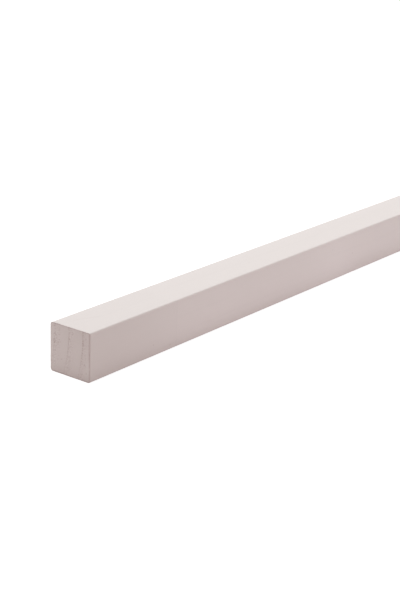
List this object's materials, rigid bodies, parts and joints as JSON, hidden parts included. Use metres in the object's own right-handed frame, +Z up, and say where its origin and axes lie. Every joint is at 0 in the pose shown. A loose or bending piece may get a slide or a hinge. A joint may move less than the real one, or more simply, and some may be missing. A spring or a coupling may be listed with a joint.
{
  "type": "square timber baluster",
  "caption": "Square timber bar with rounded long edges and square-sawn ends, finger-jointed from shorter lengths and primed, used upright as a baluster.",
  "frame": {"origin": "middle of the underside, midway between the two sawn ends", "axes": "+X along the bar from the near end to the far end, +Y across it, +Z up from the face it lies on"},
  "size_m": [0.9, 0.042, 0.042],
  "materials": {
    "primed_timber": "matt pale pink-grey primer over pine"
  },
  "bodies": {
    "root": {"near_end_block": "primed_timber", "middle_block": "primed_timber", "far_end_block": "primed_timber"}
  },
  "joints": []
}
